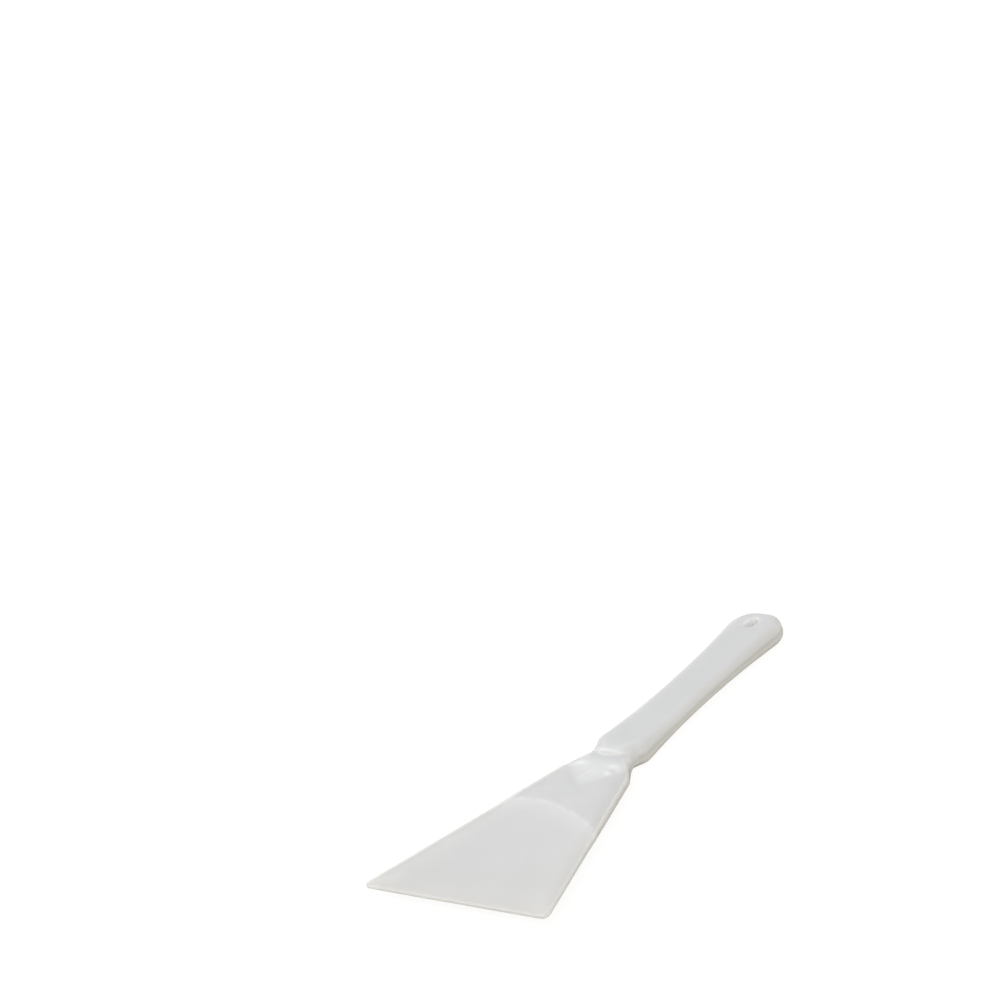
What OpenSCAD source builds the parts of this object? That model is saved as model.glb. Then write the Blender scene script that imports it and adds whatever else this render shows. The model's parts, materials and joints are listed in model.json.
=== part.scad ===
// Cell scraper moulded in one piece: a wide blade that thins towards its front
// edge, a short thick neck, and a rounded grip with a hanging hole in its head.
// X runs across the blade, Y from the front edge to the head of the grip, and Z up.
// The two faces mirror each other about the parting plane of the mould.

/* [Blade] */
// Width across the front corners
blade_w = 110; // [70:1:150]
// Length from the front edge to the shoulders
blade_l = 97.8; // [80:0.1:100]
// Angle of each side off the centre line
side_angle = 20.3; // [12:0.1:20.8]
// Radius of the two front corners, seen from above
corner_r = 2.8; // [1:0.1:8]
// Radius of the shoulders, seen from above
shoulder_r = 8; // [2:0.5:20]
// Thickness of the front lip
lip_t = 1.5; // [0.6:0.1:2.4]
// Thickness at the shoulders, up to which the blade thickens steadily
blade_t = 4.3; // [3.6:0.1:6]
// Part of that thickness which comes in one low ramp
ramp_t = 0.6; // [0.2:0.1:1]
// Distance of the ramp's crest from the front edge
ramp_y = 73.5; // [60:0.5:78]
// Length of the ramp
ramp_l = 8; // [4:0.5:20]
// Radius of the arc that the ramp's crest follows
ramp_r = 70; // [50:1:300]
// Sideways place of the arc's middle
ramp_x = -13; // [-20:0.5:20]
// Rounding of the blade's long edges
edge_r = 0.4; // [0.2:0.05:0.6]

/* [Neck] */
// Width of the waist between blade and grip
neck_w = 24.9; // [20:0.1:27]
// Thickness of the waist
neck_t = 6.9; // [6:0.1:8]
// Distance of the waist's thickest part from the front edge
neck_y = 108; // [106:0.1:109]
// Angle of the flare from the shoulders to the waist
flare_angle = 38.1; // [34:0.1:45]
// Radius of the hollow at each side of the waist
waist_r = 9.5; // [6:0.1:9.7]
// Distance of the tongue's tip from the front edge
tongue_y = 87; // [82:0.5:95]
// How fast the tongue's front falls back to the sides
tongue_slope = 0.9; // [0.5:0.05:1.2]

/* [Grip] */
// Overall length of the scraper
length = 222.5; // [215:0.5:260]
// Width of the heel, the grip's lower end
heel_w = 28.8; // [28:0.1:32]
// Thickness of the heel where the grip's arc would reach it
heel_t = 11.4; // [10:0.1:14]
// Radius of the heel's corners, seen from above
heel_r = 8.8; // [6:0.1:12]
// Width of the grip at its narrowest place
grip_w = 24.9; // [20:0.1:26]
// Distance of the narrowest place from the front edge
grip_y = 172; // [155:1:178]
// Thickness of the grip at its thinnest place
grip_t = 7.9; // [7:0.1:9.6]
// Distance of the thinnest place from the front edge
thin_y = 158; // [150:1:170]
// Width of the head
head_w = 28.3; // [27:0.1:34]
// Thickness of the head
head_t = 11; // [10:0.1:14]
// Radius of the head's corners, seen from above
head_r = 11.3; // [8:0.1:13]
// How far the rounding of the sides reaches in
side_r = 7; // [5:0.1:8]

/* [Nose] */
// Distance of the middle of the nose step from the front edge
nose_y = 108.6; // [108:0.1:111]
// Length of the step
nose_l = 2.8; // [2:0.1:3.5]
// Radius of the arc that the step follows
nose_r = 21; // [18:1:60]
// Radius at which the grip's faces round down to the step
nose_fall_r = 70; // [45:1:120]
// How far the rounding of the grip's sides reaches in at the step
nose_side_r = 11.5; // [7:0.1:12]

/* [Hanging hole] */
// Diameter of the hole
hole_d = 7; // [3:0.1:9]
// Distance of its centre from the end of the head
hole_inset = 10.2; // [8.5:0.1:14]

/* [Hidden] */

// Half height of the flat band left by the mould's parting line
land_h = 0.15;
// How softly the ramp starts and stops
ramp_soft = 0.25;
// How softly the grip's faces level off at the head
head_soft = 1.2;
// Roundness of the tongue's tip
tip_r = 4;
// Shortest run in which the neck rises to its full thickness
neck_run = 3;
// How far behind the step the grip's faces begin to round down to it
nose_fall_l = 13.4;
fall_y = nose_y + nose_fall_l;
// Along Y: how far the rounding of the neck's sides reaches in
neck_round_y = [98, 104, 110];
neck_round_w = [edge_r, 1.2, 3.5];
// The same for the grip, and the power of its curve: 2 is an ellipse, more is squarer
grip_round_y = [110, 118];
grip_round_w = [nose_side_r, side_r];
grip_power = [2, 2.7];
// Along Y: share of the half thickness that is an upright wall
wall_y = [98, 104, 110, 116];
wall_share = [1, 0.75, 0.4, 0];

// Outline of the blade's corner and sides
corner_x = blade_w / 2 - corner_r;
side_x0 = corner_x + corner_r * (tan(side_angle) + 1 / cos(side_angle));
shoulder_x = side_x0 - blade_l * tan(side_angle);
corner_end = corner_r * (1 + sin(side_angle));

// Arc that rounds each shoulder, between the side and the flare
shoulder_run = shoulder_r * tan((flare_angle - side_angle) / 2);
shoulder_start = blade_l - shoulder_run * cos(side_angle);
shoulder_end = blade_l + shoulder_run * cos(flare_angle);
shoulder_cx = shoulder_x + shoulder_run * sin(side_angle) - shoulder_r * cos(side_angle);
shoulder_cy = shoulder_start - shoulder_r * sin(side_angle);

// Hollow of the waist, tangent to the flare and to the heel's corner arc
waist_x = neck_w / 2 + waist_r;
waist_y = blade_l
    + (waist_r - (waist_x - shoulder_x) * cos(flare_angle)) / sin(flare_angle);
waist_start = waist_y - waist_r * sin(flare_angle);
heel_x = heel_w / 2 - heel_r;
heel_y = waist_y + sqrt(pow(waist_r + heel_r, 2) - pow(waist_x - heel_x, 2));
heel_start = waist_y + (heel_y - waist_y) * waist_r / (waist_r + heel_r);

// Two long arcs that meet at the narrowest place, tangent to the heel and the head
head_x = head_w / 2 - head_r;
head_y = length - head_r;
function arc_radius(run, rise, r) = (run * run + rise * rise - r * r) / (2 * (r - rise));
lower_r = arc_radius(grip_y - heel_y, grip_w / 2 - heel_x, heel_r);
upper_r = arc_radius(head_y - grip_y, grip_w / 2 - head_x, head_r);
heel_end = heel_y + heel_r * (grip_y - heel_y) / (lower_r + heel_r);
head_start = head_y - head_r * (head_y - grip_y) / (upper_r + head_r);

// Side view: two long arcs that meet at the thinnest place
lower_sag_r = pow(thin_y - heel_y, 2) / (heel_t - grip_t);
upper_sag_r = pow(head_y - thin_y, 2) / (head_t - grip_t);

// X of an arc's near (-1) or far (+1) side at y
function arc_x(y, cx, cy, r, side) = cx + side * sqrt(max(r * r - pow(y - cy, 2), 0));

// Half width of the outline at y
function half_width(y) =
    y < corner_end ? arc_x(y, corner_x, corner_r, corner_r, 1) :
    y < shoulder_start ? side_x0 - y * tan(side_angle) :
    y < shoulder_end ? arc_x(y, shoulder_cx, shoulder_cy, shoulder_r, 1) :
    y < waist_start ? shoulder_x - (y - blade_l) * tan(flare_angle) :
    y < heel_start ? arc_x(y, waist_x, waist_y, waist_r, -1) :
    y < heel_end ? arc_x(y, heel_x, heel_y, heel_r, 1) :
    y < grip_y ? arc_x(y, grip_w / 2 + lower_r, grip_y, lower_r, -1) :
    y < head_start ? arc_x(y, grip_w / 2 + upper_r, grip_y, upper_r, -1) :
    arc_x(y, head_x, head_y, head_r, 1);

function clamp01(u) = min(max(u, 0), 1);
function ease(u) = let (c = clamp01(u)) c * c * (3 - 2 * c);
// The smaller of a and b, blended where they are closer than soft
function soft_min(a, b, soft) = min(a, b) - pow(max(soft - abs(a - b), 0), 2) / (4 * soft);
// A straight rise from 0 to 1 whose two ends are rounded
function soft_rise(u, soft) =
    (1 + sqrt(u * u + soft * soft) - sqrt(pow(u - 1, 2) + soft * soft)) / 2;

// Half thickness of the flat of the blade: a steady taper, and the ramp on top of it
function ramp_line(x) = ramp_y - pow(x - ramp_x, 2) / (2 * ramp_r);
function blade_half(x, y) = let (
        taper = lip_t + (blade_t - ramp_t - lip_t) * min(y / blade_l, 1),
        ramp = soft_rise(1 + (y - ramp_line(x)) / ramp_l, ramp_soft)
    ) (taper + ramp_t * clamp01(ramp)) / 2;

// Half thickness that the tongue and the neck add to the blade
function tongue_front(x) = tongue_y + tongue_slope * (sqrt(x * x + tip_r * tip_r) - tip_r);
function neck_rise(x, y) = let (
        front = tongue_front(x)
    ) (neck_t - blade_t) / 2 * ease((y - front) / max(neck_y - front, neck_run));

// Half thickness of the grip along its middle
function grip_half(y) = let (
        run = y - thin_y,
        rise = run < 0
            ? run * run / lower_sag_r
            : soft_min(run * run / upper_sag_r, head_t - grip_t, head_soft),
        fall = pow(max(fall_y - y, 0), 2) / nose_fall_r
    ) (grip_t + rise - fall) / 2;

// 0 ahead of the nose step, 1 behind it
function nose_step(x, y) = ease((y - nose_y - x * x / (2 * nose_r)) / nose_l + 0.5);

// Distance in from the outline, at x along the row at y
function inset(x, y, w) =
    y > head_y && abs(x) > head_x ? head_r - norm([abs(x) - head_x, y - head_y]) :
    y > head_y ? length - y :
    y < corner_r && abs(x) > corner_x ? corner_r - norm([abs(x) - corner_x, corner_r - y]) :
    min(w - abs(x), y);

// The value at y of a line through values at places
function at(y, places, values) =
    lookup(y, [for (i = [0:len(places) - 1]) [places[i], values[i]]]);

// The top brought down to the wall within reach of the outline
function rounded(top, wall, depth, reach, power) =
    wall + (top - wall) * pow(1 - pow(1 - clamp01(depth / reach), power), 1 / power);

// Half thickness anywhere: the neck, and behind the nose step the grip
function edge_half(x, y, w) = let (
        depth = max(inset(x, y, w), 0),
        front = blade_half(x, y) + neck_rise(x, y),
        wall = max((front - edge_r) * at(y, wall_y, wall_share), land_h),
        neck = rounded(front, wall, depth, at(y, neck_round_y, neck_round_w), 2),
        reach = at(y, grip_round_y, grip_round_w),
        grip = rounded(grip_half(y), wall, depth, reach, at(y, grip_round_y, grip_power))
    ) neck + nose_step(x, y) * (grip - neck);

// Rows of the skin, closer together where the shape turns faster
function steps(from, to, n) = [for (i = [0:n - 1]) from + (to - from) * i / n];
ramp_rows = [ramp_y - 28, ramp_y + 4];
corner_rows = [for (a = [0:15:75]) corner_r * (1 - cos(a))];
head_rows = [for (a = [0:7.5:90]) head_y + head_r * sin(a)];
rows = concat(
    corner_rows,
    steps(corner_r, ramp_rows[0], 6),
    steps(ramp_rows[0], ramp_rows[1], 16),
    steps(ramp_rows[1], shoulder_start, 6),
    steps(shoulder_start, shoulder_end, 3),
    steps(shoulder_end, waist_start, 5),
    steps(waist_start, heel_start, 20),
    steps(heel_start, heel_y, 8),
    steps(heel_y, head_y, 18),
    head_rows
);

// How far a row bows forward at its middle, so that rows follow the nose arc: the bow
// grows behind the blade, and goes again on the heel
bow_max = pow(neck_w / 2, 2) / (2 * nose_r);
bow_in = 8;
bow_out = 10;
function bow(y) =
    bow_max * ease((y - blade_l) / bow_in) * (1 - ease((y - nose_y) / bow_out));

// Places across a row: -1 and 1 are the outline, close together near it
edge_n = 6;
flat_n = 10;
// Most of the half width that the side rounding may take up
round_share = 0.92;
function across(y, w) = let (
        side = y < nose_y ? at(y, neck_round_y, neck_round_w) : side_r,
        reach = min(side, w * round_share),
        flat = w - reach,
        left = [for (i = [0:edge_n - 1]) -w + reach * (1 - cos(90 * i / edge_n))],
        middle = [for (i = [0:flat_n]) flat * (2 * i / flat_n - 1)]
    ) concat(left, middle, [for (i = [edge_n - 1:-1:0]) -left[i]]);

// One row of the upper (side = 1) or lower (side = -1) face
function face_row(y, side) = let (w = half_width(y), b = bow(y)) [
    for (x = across(y, w))
        let (yb = y - b * (1 - pow(x / w, 2)))
        [x, yb, side * edge_half(x, yb, w)]
];

n_across = flat_n + 1 + 2 * edge_n;
ring_n = 2 * n_across;
// Each ring goes left to right over the upper face and back under the lower one
function ring(y) = let (low = face_row(y, -1))
    concat(face_row(y, 1), [for (i = [n_across - 1:-1:0]) low[i]]);

module skin() {
    points = [for (y = rows) each ring(y)];
    last = (len(rows) - 1) * ring_n;
    sides = [
        for (r = [0:len(rows) - 2], i = [0:ring_n - 1])
            let (a = r * ring_n + i, b = r * ring_n + (i + 1) % ring_n)
            each [[a, a + ring_n, b], [b, a + ring_n, b + ring_n]]
    ];
    // A strip of triangles between the two faces closes each end
    ends = [
        for (i = [0:n_across - 2])
            let (j = ring_n - 1 - i)
            each [
                [i, i + 1, j], [i + 1, j - 1, j],
                [last + i, last + j, last + i + 1], [last + i + 1, last + j, last + j - 1]
            ]
    ];
    polyhedron(points, concat(sides, ends), convexity = 4);
}

module scraper() {
    rest_h = max([for (y = rows) for (point = face_row(y, 1)) point.z]);
    color([0.85, 0.85, 0.83])
    translate([0, -length / 2, rest_h])
    difference() {
        skin();
        translate([0, length - hole_inset, -head_t])
        cylinder(h = 2 * head_t, d = hole_d, $fn = 64);
    }
}

scraper();
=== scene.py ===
"""Cell scraper moulded in one piece of milky plastic: its fine surface, finish, light and camera."""

import json
from math import cos, pi, radians, sin, sqrt, tan

import bpy
import numpy as np
from mathutils import Matrix, Vector


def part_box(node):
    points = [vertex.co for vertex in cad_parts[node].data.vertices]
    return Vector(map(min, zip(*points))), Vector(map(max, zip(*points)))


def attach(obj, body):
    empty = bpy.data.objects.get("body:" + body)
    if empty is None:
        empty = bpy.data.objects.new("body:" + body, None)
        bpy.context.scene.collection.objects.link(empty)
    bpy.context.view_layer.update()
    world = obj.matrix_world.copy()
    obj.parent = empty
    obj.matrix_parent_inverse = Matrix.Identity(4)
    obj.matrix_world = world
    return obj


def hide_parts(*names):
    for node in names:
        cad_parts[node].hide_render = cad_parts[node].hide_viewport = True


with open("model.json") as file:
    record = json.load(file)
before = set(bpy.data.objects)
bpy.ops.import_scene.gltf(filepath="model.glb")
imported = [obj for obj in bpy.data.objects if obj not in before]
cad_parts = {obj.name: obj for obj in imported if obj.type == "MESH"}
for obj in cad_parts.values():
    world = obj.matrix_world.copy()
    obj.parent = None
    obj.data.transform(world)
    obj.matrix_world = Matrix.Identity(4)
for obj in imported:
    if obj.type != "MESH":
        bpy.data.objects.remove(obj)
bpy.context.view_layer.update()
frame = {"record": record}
low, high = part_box("scraper")
hole = next(m for m in frame["record"]["mounts"] if m["name"] == "hanging_hole")
MM = 0.001

# ---------------------------------------------------------------- driving sizes, in mm
LENGTH = (high.y - low.y) / MM
BLADE_W = (high.x - low.x) / MM
MID_Z = (high.z + low.z) / 2 / MM
HOLE_R = hole["dims"]["r_mm"]
HOLE_Y = (hole["pos_m"][1] - low.y) / MM

# Blade: outline, taper, and the low ramp across it
BLADE_L = 97.8
SIDE_ANGLE = radians(20.3)
CORNER_R = 2.8
SHOULDER_R = 8.0
LIP_T = 1.5
BLADE_T = 4.3
RAMP_T = 0.6
RAMP_Y = 73.5
RAMP_L = 8.0
RAMP_R = 70.0
RAMP_X = -13.0
RAMP_SOFT = 0.25
EDGE_R = 0.4

# Neck
NECK_W = 24.9
NECK_T = 6.9
NECK_Y = 108.0
NECK_RUN = 3.0
FLARE_ANGLE = radians(38.1)
WAIST_R = 9.5
TONGUE_Y = 87.0
TONGUE_SLOPE = 0.9
TIP_R = 4.0

# Grip and its nose step
HEEL_W = 28.8
HEEL_T = 11.4
HEEL_R = 8.8
GRIP_W = 24.9
GRIP_Y = 172.0
GRIP_T = 7.9
THIN_Y = 158.0
HEAD_W = 28.3
HEAD_T = 11.0
HEAD_R = 11.3
HEAD_SOFT = 1.2
NOSE_Y = 108.6
NOSE_L = 2.8
NOSE_R = 21.0
NOSE_FALL_R = 70.0
FALL_Y = NOSE_Y + 13.4

# Side rounding along Y: how far it reaches in, its curve's power, and the upright wall's share
NECK_ROUND_Y = [98, 104, 110]
NECK_REACH = [EDGE_R, 1.2, 3.5]
GRIP_ROUND_Y = [110, 118]
GRIP_REACH = [11.5, 7.0]
GRIP_POWER = [2, 2.7]
WALL_Y = [98, 104, 110, 116]
WALL_SHARE = [1, 0.75, 0.4, 0]
LAND_H = 0.15

# Rounding of the hole's rims, the fine ridge left by the mould's parting line with the share
# of the edge's wall that it takes up, and how far the skin stays inside the solid's height
RIM_R = 0.5
RIDGE_H = 0.05
RIDGE_SHARE = 0.6
SKIN_GAP = 0.002

# Fine relief of the faces: a ridge along the ramp's crest, and flow marks round the neck,
# each with its place, its reach along and across itself, its turn in degrees and its height
CREST_H = 0.05
CREST_RUN = 1.8
FLOW_MARKS = [
    (-11.4, 102.0, 3.6, 1.7, 8, 0.18),
    (-14.8, 100.6, 2.4, 1.0, 25, 0.12),
    (10.2, 102.4, 3.0, 1.7, -5, 0.20),
    (9.6, 97.9, 2.0, 1.4, -20, 0.17),
    (13.4, 100.9, 2.2, 1.1, -45, 0.12),
    (-2.6, 96.1, 4.6, 0.9, 58, 0.09),
    (1.5, 95.3, 3.6, 0.8, 52, 0.07),
]

# ---------------------------------------------------------------- outline
CORNER_X = BLADE_W / 2 - CORNER_R
CORNER_END = CORNER_R * (1 + sin(SIDE_ANGLE))
SIDE_X0 = CORNER_X + CORNER_R * (tan(SIDE_ANGLE) + 1 / cos(SIDE_ANGLE))
SHOULDER_X = SIDE_X0 - BLADE_L * tan(SIDE_ANGLE)
SHOULDER_RUN = SHOULDER_R * tan((FLARE_ANGLE - SIDE_ANGLE) / 2)
SHOULDER_START = BLADE_L - SHOULDER_RUN * cos(SIDE_ANGLE)
SHOULDER_END = BLADE_L + SHOULDER_RUN * cos(FLARE_ANGLE)
SHOULDER_CX = SHOULDER_X + SHOULDER_RUN * sin(SIDE_ANGLE) - SHOULDER_R * cos(SIDE_ANGLE)
SHOULDER_CY = SHOULDER_START - SHOULDER_R * sin(SIDE_ANGLE)

WAIST_X = NECK_W / 2 + WAIST_R
WAIST_Y = BLADE_L + (WAIST_R - (WAIST_X - SHOULDER_X) * cos(FLARE_ANGLE)) / sin(FLARE_ANGLE)
WAIST_START = WAIST_Y - WAIST_R * sin(FLARE_ANGLE)
HEEL_X = HEEL_W / 2 - HEEL_R
HEEL_Y = WAIST_Y + sqrt((WAIST_R + HEEL_R) ** 2 - (WAIST_X - HEEL_X) ** 2)
HEEL_START = WAIST_Y + (HEEL_Y - WAIST_Y) * WAIST_R / (WAIST_R + HEEL_R)
HEAD_X = HEAD_W / 2 - HEAD_R
HEAD_Y = LENGTH - HEAD_R


def arc_radius(run, rise, r):
    """Radius of the long arc that is tangent to a corner arc of radius r."""
    return (run * run + rise * rise - r * r) / (2 * (r - rise))


LOWER_R = arc_radius(GRIP_Y - HEEL_Y, GRIP_W / 2 - HEEL_X, HEEL_R)
UPPER_R = arc_radius(HEAD_Y - GRIP_Y, GRIP_W / 2 - HEAD_X, HEAD_R)
HEEL_END = HEEL_Y + HEEL_R * (GRIP_Y - HEEL_Y) / (LOWER_R + HEEL_R)
HEAD_START = HEAD_Y - HEAD_R * (HEAD_Y - GRIP_Y) / (UPPER_R + HEAD_R)
LOWER_SAG_R = (THIN_Y - HEEL_Y) ** 2 / (HEEL_T - GRIP_T)
UPPER_SAG_R = (HEAD_Y - THIN_Y) ** 2 / (HEAD_T - GRIP_T)


def arc_x(y, cx, cy, r, side):
    return cx + side * np.sqrt(np.maximum(r * r - (y - cy) ** 2, 0))


def half_width(y):
    """Half width of the outline at y, the distance from the front edge."""
    y = np.asarray(y, float)
    ends = [CORNER_END, SHOULDER_START, SHOULDER_END, WAIST_START]
    ends += [HEEL_START, HEEL_END, GRIP_Y, HEAD_START]
    curves = [
        arc_x(y, CORNER_X, CORNER_R, CORNER_R, 1),
        SIDE_X0 - y * tan(SIDE_ANGLE),
        arc_x(y, SHOULDER_CX, SHOULDER_CY, SHOULDER_R, 1),
        SHOULDER_X - (y - BLADE_L) * tan(FLARE_ANGLE),
        arc_x(y, WAIST_X, WAIST_Y, WAIST_R, -1),
        arc_x(y, HEEL_X, HEEL_Y, HEEL_R, 1),
        arc_x(y, GRIP_W / 2 + LOWER_R, GRIP_Y, LOWER_R, -1),
        arc_x(y, GRIP_W / 2 + UPPER_R, GRIP_Y, UPPER_R, -1),
    ]
    return np.select([y < end for end in ends], curves, arc_x(y, HEAD_X, HEAD_Y, HEAD_R, 1))


# ---------------------------------------------------------------- thickness
def clamp01(u):
    return np.clip(u, 0, 1)


def ease(u):
    c = clamp01(u)
    return c * c * (3 - 2 * c)


def soft_min(a, b, soft):
    return np.minimum(a, b) - np.maximum(soft - abs(a - b), 0) ** 2 / (4 * soft)


def soft_rise(u, soft):
    """A straight rise from 0 to 1 whose two ends are rounded."""
    return (1 + np.sqrt(u * u + soft**2) - np.sqrt((u - 1) ** 2 + soft**2)) / 2


def crest_line(x):
    return RAMP_Y - (x - RAMP_X) ** 2 / (2 * RAMP_R)


def blade_half(x, y):
    taper = LIP_T + (BLADE_T - RAMP_T - LIP_T) * np.minimum(y / BLADE_L, 1)
    ramp = soft_rise(1 + (y - crest_line(x)) / RAMP_L, RAMP_SOFT)
    return (taper + RAMP_T * clamp01(ramp)) / 2


def neck_rise(x, y):
    front = TONGUE_Y + TONGUE_SLOPE * (np.sqrt(x * x + TIP_R**2) - TIP_R)
    return (NECK_T - BLADE_T) / 2 * ease((y - front) / np.maximum(NECK_Y - front, NECK_RUN))


def grip_half(y):
    run = y - THIN_Y
    rise = np.where(
        run < 0,
        run * run / LOWER_SAG_R,
        soft_min(run * run / UPPER_SAG_R, HEAD_T - GRIP_T, HEAD_SOFT),
    )
    fall = np.maximum(FALL_Y - y, 0) ** 2 / NOSE_FALL_R
    return (GRIP_T + rise - fall) / 2


def nose_step(x, y):
    """0 ahead of the nose step, 1 behind it."""
    return ease((y - NOSE_Y - x * x / (2 * NOSE_R)) / NOSE_L + 0.5)


def front_half(x, y):
    """Half thickness of blade and neck, before the sides are rounded."""
    return blade_half(x, y) + neck_rise(x, y)


def flow_marks(x, y):
    """Height of the flow marks where the neck spreads out."""
    height = 0
    for mark_x, mark_y, along, across, turn, rise in FLOW_MARKS:
        c, s = cos(radians(turn)), sin(radians(turn))
        u = ((x - mark_x) * c + (y - mark_y) * s) / along
        v = ((y - mark_y) * c - (x - mark_x) * s) / across
        height = height + rise * np.exp(-(u * u + v * v))
    return height


def crest_share(x, y):
    """1 along the ramp's crest, fading to 0 on both sides of it."""
    return np.exp(-(((y - crest_line(x)) / CREST_RUN) ** 2))


def inset(x, y, w):
    """Distance in from the outline."""
    ax = abs(x)
    front = np.where(
        (ax > CORNER_X) & (y < CORNER_R),
        CORNER_R - np.hypot(ax - CORNER_X, CORNER_R - y),
        np.minimum(w - ax, y),
    )
    head = np.where(ax > HEAD_X, HEAD_R - np.hypot(ax - HEAD_X, y - HEAD_Y), LENGTH - y)
    return np.where(y > HEAD_Y, head, front)


def rounded(top, wall, depth, reach, power):
    """The top brought down to the wall within reach of the outline."""
    v = 1 - clamp01(depth / reach)
    return wall + (top - wall) * (1 - v**power) ** (1 / power)


def surface(x, y):
    """Half thickness with the sides rounded down to the upright wall."""
    depth = np.maximum(inset(x, y, half_width(y)), 0)
    front = front_half(x, y)
    wall = np.maximum((front - EDGE_R) * np.interp(y, WALL_Y, WALL_SHARE), LAND_H)
    relief = CREST_H * crest_share(x, y) + flow_marks(x, y)
    neck = rounded(front + relief, wall, depth, np.interp(y, NECK_ROUND_Y, NECK_REACH), 2)
    reach = np.interp(y, GRIP_ROUND_Y, GRIP_REACH)
    grip = rounded(grip_half(y), wall, depth, reach, np.interp(y, GRIP_ROUND_Y, GRIP_POWER))
    return neck + nose_step(x, y) * (grip - neck)


# ---------------------------------------------------------------- mesh
EDGE_N = 20
FLAT_N = 64
ROUND_SHARE = 0.92
ROW_ENDS = [CORNER_R, RAMP_Y - 28, RAMP_Y + 4, SHOULDER_START, SHOULDER_END]
ROW_ENDS += [WAIST_START, HEEL_START, HEEL_Y, HEAD_Y]
ROW_COUNTS = [22, 54, 40, 8, 14, 48, 12, 76]
CORNER_ROWS = 12
HEAD_ROWS = 26
BOW_MAX = (NECK_W / 2) ** 2 / (2 * NOSE_R)
BOW_IN = 8
BOW_OUT = 10


def row_places():
    """Distances from the front edge, closer together where the shape turns faster."""
    corner = CORNER_R * (1 - np.cos(np.linspace(0, pi / 2, CORNER_ROWS + 1)[:-1]))
    spans = [
        np.linspace(a, b, n, endpoint=False)
        for a, b, n in zip(ROW_ENDS, ROW_ENDS[1:], ROW_COUNTS)
    ]
    head = HEAD_Y + HEAD_R * np.sin(np.linspace(0, pi / 2, HEAD_ROWS + 1))
    return np.concatenate([corner, *spans, head])


def face_grid():
    """The upper face, rows by places across, in mm from the middle of the front edge."""
    grid = []
    for y in row_places():
        w = half_width(y)
        reach = np.interp(y, NECK_ROUND_Y, NECK_REACH) if y < NOSE_Y else GRIP_REACH[1]
        reach = min(reach, w * ROUND_SHARE)
        side = w - reach * (1 - np.cos(np.linspace(0, pi / 2, EDGE_N + 1)[:-1]))
        middle = np.linspace(-(w - reach), w - reach, FLAT_N + 1)
        x = np.concatenate([-side, middle, side[::-1]])
        bow = BOW_MAX * ease((y - BLADE_L) / BOW_IN) * (1 - ease((y - NOSE_Y) / BOW_OUT))
        grid.append(np.stack([x, y - bow * (1 - (x / w) ** 2), np.zeros_like(x)], axis=1))
    grid = np.array(grid)
    grid[..., 2] = surface(grid[..., 0], grid[..., 1])
    return grid


class MeshParts:
    """Points and faces gathered block by block."""

    def __init__(self):
        self.points = []
        self.faces = []

    def add(self, points):
        """Adds points of any shape and returns their indices in that shape."""
        points = np.asarray(points, float)
        start = sum(len(p) for p in self.points)
        self.points.append(points.reshape(-1, 3))
        return start + np.arange(points[..., 0].size).reshape(points.shape[:-1])

    def quads(self, ids, flip=False, skip=None):
        """Faces between the neighbouring rows of a grid of indices."""
        for r in range(len(ids) - 1):
            for c in range(len(ids[r]) - 1):
                if skip and skip(r, c):
                    continue
                quad = [ids[r][c], ids[r][c + 1], ids[r + 1][c + 1], ids[r + 1][c]]
                self.faces.append([int(i) for i in (quad[::-1] if flip else quad)])


HOLE_WINDOW = 5.6
PATCH_N = 7
RIM_N = 6
BORE_N = 4


def window_of(grid):
    """First and last row and column of the patch of the grid that gives way to the hole."""
    middle = grid.shape[1] // 2
    rows = np.nonzero(abs(grid[:, middle, 1] - HOLE_Y) < HOLE_WINDOW)[0]
    cols = np.nonzero(abs(grid[rows[0], :, 0]) < HOLE_WINDOW)[0]
    return rows[0], rows[-1], cols[0], cols[-1]


def loop_of(ids, window):
    """The indices around the window, anticlockwise from its front left corner."""
    r0, r1, c0, c1 = window
    front = [ids[r0][c] for c in range(c0, c1)]
    right = [ids[r][c1] for r in range(r0, r1)]
    back = [ids[r1][c] for c in range(c1, c0, -1)]
    left = [ids[r][c0] for r in range(r1, r0, -1)]
    return front + right + back + left


def bore_rings(loop_points):
    """Rings from the window's edge to the rim, over its rounding and down to mid height."""
    dx = loop_points[:, 0]
    dy = loop_points[:, 1] - HOLE_Y
    length = np.hypot(dx, dy)
    ux, uy = dx / length, dy / length
    rim = HOLE_R + RIM_R
    rings = []
    for t in np.linspace(0, 1, PATCH_N + 1)[1:]:
        r = length + (rim - length) * t
        x, y = ux * r, HOLE_Y + uy * r
        rings.append(np.stack([x, y, surface(x, y)], axis=1))
    top = rings[-1][:, 2]
    for a in np.linspace(0, pi / 2, RIM_N + 1)[1:]:
        r = HOLE_R + RIM_R * (1 - sin(a))
        rings.append(np.stack([ux * r, HOLE_Y + uy * r, top - RIM_R * (1 - cos(a))], axis=1))
    wall = rings[-1]
    for t in np.linspace(1, 0, BORE_N + 1)[1:]:
        rings.append(wall * [1, 1, t])
    return np.array(rings)


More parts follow.
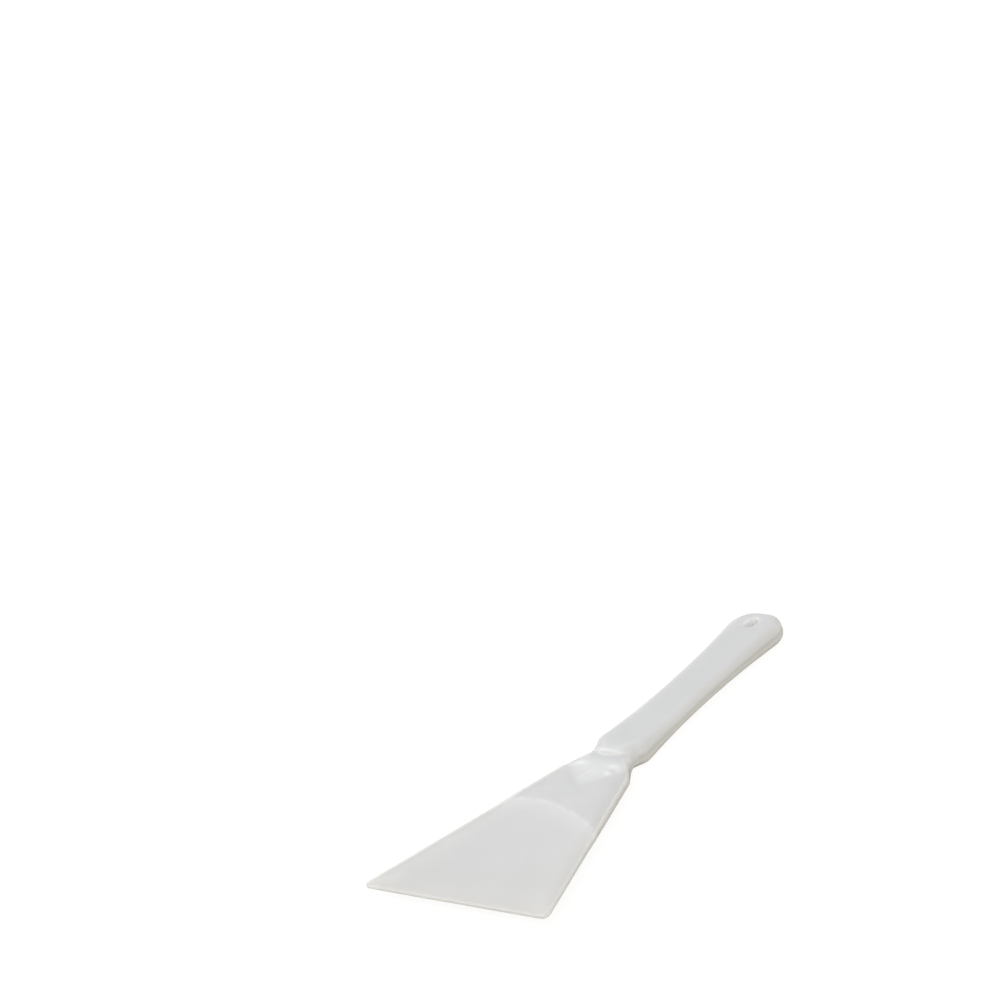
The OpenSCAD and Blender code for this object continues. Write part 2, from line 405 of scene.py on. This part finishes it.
def scraper_mesh():
    parts = MeshParts()
    grid = face_grid()
    window = window_of(grid)
    r0, r1, c0, c1 = window
    inside = lambda r, c: r0 <= r < r1 and c0 <= c < c1
    upper = parts.add(grid)
    lower = parts.add(grid * [1, 1, -1])
    parts.quads(upper, skip=inside)
    parts.quads(lower, flip=True, skip=inside)

    # The band between the faces, all round the outline, with the parting line's ridge in it
    outline = np.concatenate([grid[0], grid[1:, -1], grid[-1, -2::-1], grid[-2:0:-1, 0]])
    band_z = [LAND_H * RIDGE_SHARE, 0, -LAND_H * RIDGE_SHARE]
    band = [np.concatenate([upper[0], upper[1:, -1], upper[-1, -2::-1], upper[-2:0:-1, 0]])]
    ridge = []
    for z in band_z:
        ids = parts.add(np.stack([outline[:, 0], outline[:, 1], np.full(len(outline), z)], axis=1))
        ridge.append(ids)
        band.append(ids)
    band.append(np.concatenate([lower[0], lower[1:, -1], lower[-1, -2::-1], lower[-2:0:-1, 0]]))
    band = np.array(band)
    parts.quads(np.concatenate([band, band[:, :1]], axis=1), flip=True)

    # The hole, from each face to mid height
    rings = bore_rings(grid.reshape(-1, 3)[loop_of(np.arange(upper.size).reshape(upper.shape), window)])
    mid = parts.add(rings[-1])
    for face, sign in ((upper, 1), (lower, -1)):
        ids = np.concatenate(
            [[loop_of(face, window)], parts.add(rings[:-1] * [1, 1, sign]), [mid]]
        )
        parts.quads(np.concatenate([ids, ids[:, :1]], axis=1), flip=sign < 0)

    points = np.concatenate(parts.points)
    return points, parts.faces, ridge[1]


# Tone: 0.5 is plain, less is darker, more is lighter, and 1 is deep in the bore. Apart from
# the flow marks' paler plastic, the changes are painted light and shade: painted shade where
# the plastic is thin and near the outline, painted highlights along the ramp's crest and the
# nose step, and painted light deep in the bore. For each feature, how far it reaches in mm
# and how much it changes the tone
PLAIN_TONE = 0.5
# Painted shade where the plastic is thin
THIN_RUN = 1.2
THIN_PAINTED_SHADE = 0.45
# Painted shade near the outline, less of it on the grip
RIM_RUN = 4.0
RIM_PAINTED_SHADE = 0.5
RIM_PAINTED_SHADE_GRIP = 0.1
# Painted highlight along the ramp's crest, mottled and stronger towards the blade's sides
CREST_PAINTED_HIGHLIGHT = 0.06
CREST_PAINTED_HIGHLIGHT_MAX = 0.2
CREST_GLOW_X = 26
CREST_MOTTLE = 0.9
CREST_BEATS = (0.9, 0.37)
# Painted highlight along the nose step
STEP_PAINTED_HIGHLIGHT = 0.13
# Flow marks paler: partly paler plastic, partly painted highlight
MARK_TONE_AND_HIGHLIGHT = 0.7
# Painted light deep in the bore
BORE_FADE = 0.1


def crest_painted_highlight(x, y):
    """Painted highlight along the ramp's crest: lighter towards the blade's sides, and slightly
    mottled.
    """
    glow = np.minimum(CREST_PAINTED_HIGHLIGHT * (1 + (x / CREST_GLOW_X) ** 4), CREST_PAINTED_HIGHLIGHT_MAX)
    glow = glow * (1 + CREST_MOTTLE * np.sin(x * CREST_BEATS[0]) * np.sin(x * CREST_BEATS[1] + 1))
    return glow * crest_share(x, y)


def tone_with_painted_light(x, y, z):
    """The tone at points of the mesh: paler flow marks, with painted shade, painted highlights and
    painted light in the bore.
    """
    half = surface(x, y)
    # painted shade where the plastic is thin
    thin_shade = THIN_PAINTED_SHADE * np.exp(-half / THIN_RUN)
    depth = np.maximum(inset(x, y, half_width(y)), 0)
    # painted shade near the outline
    rim = np.interp(y, [BLADE_L, NOSE_Y], [RIM_PAINTED_SHADE, RIM_PAINTED_SHADE_GRIP])
    rim = rim * np.exp(-depth / RIM_RUN) * clamp01(depth / EDGE_R)
    # painted highlights along the nose step and the ramp's crest
    step = nose_step(x, y)
    painted_highlights = crest_painted_highlight(x, y) + STEP_PAINTED_HIGHLIGHT * 4 * step * (1 - step)
    # flow marks paler, partly as painted highlight
    plain = PLAIN_TONE - thin_shade - rim + painted_highlights + MARK_TONE_AND_HIGHLIGHT * flow_marks(x, y)
    # painted light deep in the bore
    bore = clamp01((HOLE_R + RIM_R - np.hypot(x, y - HOLE_Y)) / RIM_R)
    deep = 1 - clamp01(abs(z) / half)
    return plain + (1 - plain) * bore * deep**BORE_FADE


def build_scraper():
    points, faces, ridge = scraper_mesh()
    tones_with_painted_light = tone_with_painted_light(*points.T)
    shrink = 1 - RIDGE_H / (BLADE_W / 2)
    points = points * [shrink, 1, 1 - SKIN_GAP / MID_Z] - [0, LENGTH / 2, 0]
    points[:, 1] *= 1 - RIDGE_H / (LENGTH / 2)
    points[:, 2] += MID_Z
    mesh = bpy.data.meshes.new("scraper_skin")
    mesh.from_pydata((points * MM).tolist(), [], faces)
    # the tone attribute carries painted shade, painted highlights and painted light in the bore
    mesh.attributes.new("tone", "FLOAT", "POINT").data.foreach_set("value", tones_with_painted_light)
    mesh.update()
    normals = np.array([v.normal for v in mesh.vertices])
    for i in ridge:
        mesh.vertices[i].co += Vector(normals[i]) * RIDGE_H * MM
    mesh.polygons.foreach_set("use_smooth", [True] * len(mesh.polygons))
    mesh.update()
    piece = bpy.data.objects.new("scraper_skin", mesh)
    bpy.context.scene.collection.objects.link(piece)
    return piece


# ---------------------------------------------------------------- finish
# Colours along the tone: the darker stop gives the painted shade, the lighter stops the painted
# highlights, the paler flow marks and the painted light in the bore
TONE_COLOURS = [
    (0.0, (0.550, 0.550, 0.545)),
    (PLAIN_TONE, (0.690, 0.696, 0.704)),
    (0.7, (0.775, 0.771, 0.748)),
    (1.0, (0.960, 0.958, 0.950)),
]

# Noise: its scale over a metre, and what it does to the tone, the roughness and the surface
CLOUD_SCALE = 40
CLOUD_TONE = 0.03
GLOSS_SCALE = 160
GLOSS_LOW = 0.21
GLOSS_HIGH = 0.26
GRAIN_SCALE = 260
GRAIN_STRENGTH = 0.05
GRAIN_DEPTH = 0.0002

# How far light goes into the plastic, in metres, and how strongly the plastic bends it
LIGHT_DEPTH = 0.008
PLASTIC_IOR = 1.49


def new_material(name):
    material = bpy.data.materials.new(name)
    material.use_nodes = True
    tree = material.node_tree
    return material, tree, tree.nodes["Principled BSDF"]


def noise(tree, scale, detail, rough=0.5):
    coords = tree.nodes.get("Coords") or tree.nodes.new("ShaderNodeTexCoord")
    coords.name = "Coords"
    node = tree.nodes.new("ShaderNodeTexNoise")
    node.inputs["Scale"].default_value = scale
    node.inputs["Detail"].default_value = detail
    node.inputs["Roughness"].default_value = rough
    tree.links.new(coords.outputs["Object"], node.inputs["Vector"])
    return node.outputs["Fac"]


def ramp(tree, factor, stops):
    node = tree.nodes.new("ShaderNodeValToRGB")
    while len(node.color_ramp.elements) < len(stops):
        node.color_ramp.elements.new(0.5)
    for element, (place, colour) in zip(node.color_ramp.elements, stops):
        element.position = place
        element.color = (*colour, 1)
    tree.links.new(factor, node.inputs["Fac"])
    return node.outputs["Color"]


def map_range(tree, value, low_out, high_out, low_in=0.3, high_in=0.7):
    node = tree.nodes.new("ShaderNodeMapRange")
    node.inputs["From Min"].default_value = low_in
    node.inputs["From Max"].default_value = high_in
    node.inputs["To Min"].default_value = low_out
    node.inputs["To Max"].default_value = high_out
    tree.links.new(value, node.inputs["Value"])
    return node.outputs["Result"]


def milky_plastic():
    """Natural polypropylene: milky, light going some mm into it, with a soft gloss."""
    material, tree, shader = new_material("milky_polypropylene")
    # The tone attribute carries painted shade, painted highlights and painted light in the bore besides
    # the paler flow marks
    tone = tree.nodes.new("ShaderNodeAttribute")
    tone.attribute_name = "tone"
    cloud = map_range(tree, noise(tree, CLOUD_SCALE, 2), -CLOUD_TONE, CLOUD_TONE)
    total = tree.nodes.new("ShaderNodeMath")
    tree.links.new(tone.outputs["Fac"], total.inputs[0])
    tree.links.new(cloud, total.inputs[1])
    colour = ramp(tree, total.outputs[0], TONE_COLOURS)
    tree.links.new(colour, shader.inputs["Base Color"])
    shader.inputs["Subsurface Weight"].default_value = 1.0
    shader.inputs["Subsurface Radius"].default_value = (1.0, 1.0, 1.0)
    shader.inputs["Subsurface Scale"].default_value = LIGHT_DEPTH
    shader.inputs["IOR"].default_value = PLASTIC_IOR
    gloss = map_range(tree, noise(tree, GLOSS_SCALE, 3), GLOSS_LOW, GLOSS_HIGH)
    tree.links.new(gloss, shader.inputs["Roughness"])
    bump = tree.nodes.new("ShaderNodeBump")
    bump.inputs["Strength"].default_value = GRAIN_STRENGTH
    bump.inputs["Distance"].default_value = GRAIN_DEPTH
    tree.links.new(noise(tree, GRAIN_SCALE, 3), bump.inputs["Height"])
    tree.links.new(bump.outputs["Normal"], shader.inputs["Normal"])
    return material


# ---------------------------------------------------------------- stage
FLOOR_SIZE = 8
FLOOR_COLOUR = (0.80, 0.765, 0.675)

# The floor as the camera sees it is part its own colour and part an even white glow
GLOW_STRENGTH = 1.1
GLOW_SHARE = 0.85


def studio_floor():
    bpy.ops.mesh.primitive_plane_add(size=FLOOR_SIZE, location=(0, 0, low.z))
    floor = bpy.context.active_object
    floor.name = "floor"
    material, tree, shader = new_material("floor_white")
    shader.inputs["Base Color"].default_value = (*FLOOR_COLOUR, 1)
    shader.inputs["Roughness"].default_value = 1.0
    shader.inputs["Specular IOR Level"].default_value = 0.0
    glow = tree.nodes.new("ShaderNodeEmission")
    glow.inputs["Strength"].default_value = GLOW_STRENGTH
    path = tree.nodes.new("ShaderNodeLightPath")
    share = tree.nodes.new("ShaderNodeMath")
    share.operation = "MULTIPLY"
    share.inputs[1].default_value = GLOW_SHARE
    tree.links.new(path.outputs["Is Camera Ray"], share.inputs[0])
    mix = tree.nodes.new("ShaderNodeMixShader")
    tree.links.new(share.outputs[0], mix.inputs["Fac"])
    tree.links.new(shader.outputs["BSDF"], mix.inputs[1])
    tree.links.new(glow.outputs["Emission"], mix.inputs[2])
    tree.links.new(mix.outputs["Shader"], tree.nodes["Material Output"].inputs["Surface"])
    floor.data.materials.append(material)


# Each lamp: its direction from the scraper, distance and size in metres, its turn about its
# own axis in degrees, power in watts, colour
WHITE = (1.0, 1.0, 1.0)
WARM = (1.0, 0.92, 0.80)
LAMPS = {
    "key_left": ((-0.69, 0.25, 0.68), 0.6, (0.28, 0.28), 0, 0.32, WHITE),
    "neck": ((-0.71, 0.31, 0.64), 1.3, (0.2, 0.2), 0, 0.55, WHITE),
    "crest": ((-0.70, 0.44, 0.56), 1.3, (0.2, 0.2), 0, 0.05, WHITE),
    "step": ((-0.69, -0.33, 0.645), 1.3, (1.5, 0.2), 40, 4.7, WHITE),
    "step_right": ((0.03, -0.50, 0.86), 1.3, (0.7, 0.25), 0, 1.9, WHITE),
    "grip_band": ((-0.30, 0.57, 0.77), 1.3, (0.4, 0.4), 0, 0.1, WHITE),
    "right_low": ((0.93, -0.33, 0.15), 1.3, (0.5, 0.3), 0, 3.4, WARM),
    "head": ((0.25, 0.95, 0.12), 1.3, (0.4, 0.3), 0, 0.6, WHITE),
}


def studio_lights():
    for name, (direction, distance, size, turn, power, colour) in LAMPS.items():
        light = bpy.data.lights.new(name, "AREA")
        light.shape = "RECTANGLE"
        light.size, light.size_y = size
        light.energy = power
        light.color = colour
        lamp = bpy.data.objects.new(name, light)
        away = Vector(direction).normalized()
        lamp.location = Vector((0, 0, low.z)) + away * distance
        aim = away.to_track_quat("Z", "Y").to_matrix() @ Matrix.Rotation(radians(turn), 3, "Z")
        lamp.rotation_euler = aim.to_euler()
        bpy.context.scene.collection.objects.link(lamp)


WORLD_STRENGTH = 0.65


def studio_world():
    """An even white light all round, which the camera sees as plain white."""
    world = bpy.data.worlds.new("studio")
    bpy.context.scene.world = world
    world.use_nodes = True
    tree = world.node_tree
    plain = tree.nodes["Background"]
    plain.inputs["Color"].default_value = (*WHITE, 1)
    plain.inputs["Strength"].default_value = WORLD_STRENGTH
    shown = tree.nodes.new("ShaderNodeBackground")
    shown.inputs["Strength"].default_value = 1.0
    shown.inputs["Color"].default_value = (*WHITE, 1)
    path = tree.nodes.new("ShaderNodeLightPath")
    mix = tree.nodes.new("ShaderNodeMixShader")
    tree.links.new(path.outputs["Is Camera Ray"], mix.inputs["Fac"])
    tree.links.new(plain.outputs["Background"], mix.inputs[1])
    tree.links.new(shown.outputs["Background"], mix.inputs[2])
    tree.links.new(mix.outputs["Shader"], tree.nodes["World Output"].inputs["Surface"])


# Camera: degrees round from -Y towards +X, degrees up, and degrees rolled
VIEW_AZIMUTH = 51.056
VIEW_ELEVATION = 24.866
VIEW_ROLL = -21.3
VIEW_DISTANCE = 2.6247
VIEW_AIM = (-0.0393, 0.0244, 0.1198)
LENS = 217.38
SENSOR = 36.0
VIEW_REACH = 20.0


def studio_camera():
    azimuth, elevation, roll = (radians(a) for a in (VIEW_AZIMUTH, VIEW_ELEVATION, VIEW_ROLL))
    back = Vector((sin(azimuth) * cos(elevation), -cos(azimuth) * cos(elevation), sin(elevation)))
    level = Vector((cos(azimuth), sin(azimuth), 0))
    upright = back.cross(level)
    right = level * cos(roll) + upright * sin(roll)
    up = upright * cos(roll) - level * sin(roll)
    turn = Matrix((right, up, back)).transposed().to_4x4()
    data = bpy.data.cameras.new("camera")
    data.lens = LENS
    data.sensor_width = SENSOR
    data.clip_end = VIEW_REACH
    camera = bpy.data.objects.new("camera", data)
    camera.matrix_world = Matrix.Translation(Vector(VIEW_AIM) + back * VIEW_DISTANCE) @ turn
    bpy.context.scene.collection.objects.link(camera)
    bpy.context.scene.camera = camera


studio_camera()
scraper = build_scraper()
scraper.data.materials.append(milky_plastic())
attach(scraper, "root")
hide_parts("scraper")
studio_floor()
studio_lights()
studio_world()
bpy.context.scene.view_settings.view_transform = "Standard"
